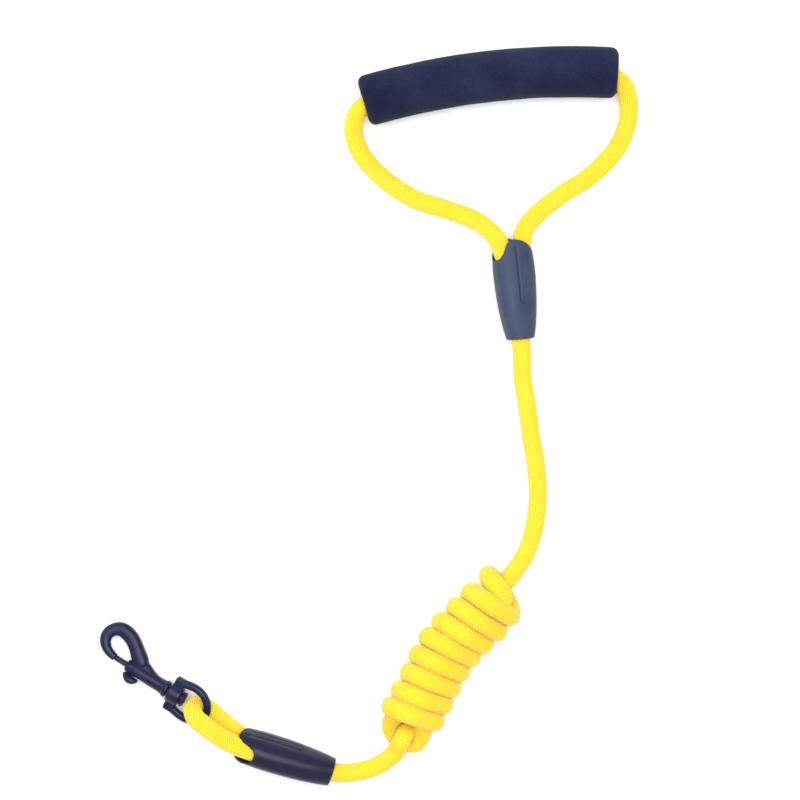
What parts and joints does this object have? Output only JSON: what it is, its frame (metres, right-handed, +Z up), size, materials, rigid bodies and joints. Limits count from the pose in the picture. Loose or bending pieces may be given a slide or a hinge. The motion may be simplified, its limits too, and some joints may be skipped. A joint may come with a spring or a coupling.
{
  "type": "rope lead with foam handle and swivel bolt snap",
  "caption": "Rope lead: foam tube grip on a rope loop, oval sleeve, spare rope wound in a hank, second sleeve and a swivel-eye bolt snap.",
  "frame": {"origin": "middle of the base of the solid pieces (grip, sleeves and snap), on the plane that the lead lies on", "axes": "+Z up, +Y towards the grip, -X towards the snap"},
  "size_m": [0.315, 0.4318, 0.0379],
  "materials": {
    "foam": "matte closed-cell foam",
    "rope": "braided yellow polyester",
    "sleeve": "satin moulded plastic",
    "ferrule": "plain",
    "snap": "dark coated casting",
    "bolt": "dark coated steel",
    "spring": "bright"
  },
  "bodies": {
    "lead": {"foam_grip": "foam", "handle_rope": "rope", "upper_sleeve": "sleeve", "upper_ferrule": "ferrule", "lead_rope_upper": "rope", "rope_hank": "rope", "lead_rope_lower": "rope", "lower_sleeve": "sleeve", "lower_ferrule": "ferrule", "end_loop_rope": "rope"},
    "eye": {"swivel_eye": "snap"},
    "hook": {"hook_body": "snap", "swivel_pin": "snap", "latch_spring": "spring"},
    "latch": {"latch_bolt": "bolt", "thumb_knob": "snap"}
  },
  "joints": [
    {"name": "eye_tilt", "type": "hinge", "parent": "lead", "child": "eye", "pos_m": [-0.08903, -0.17363, 0.01321], "axis": [0.4176, 0.8064, 0.4187], "range_deg": [-80, 28]},
    {"name": "snap_swivel", "type": "hinge", "parent": "eye", "child": "hook", "pos_m": [-0.10941, -0.16138, 0.00995], "axis": [-0.8492, 0.5103, -0.1357], "continuous": true},
    {"name": "latch_slide", "type": "slide", "parent": "hook", "child": "latch", "axis": [0.8492, -0.5103, 0.1357], "range_m": [0, 0.0082], "stiffness_N_per_m": 300, "springref_m": -0.012, "deforming": ["latch_spring"]}
  ]
}
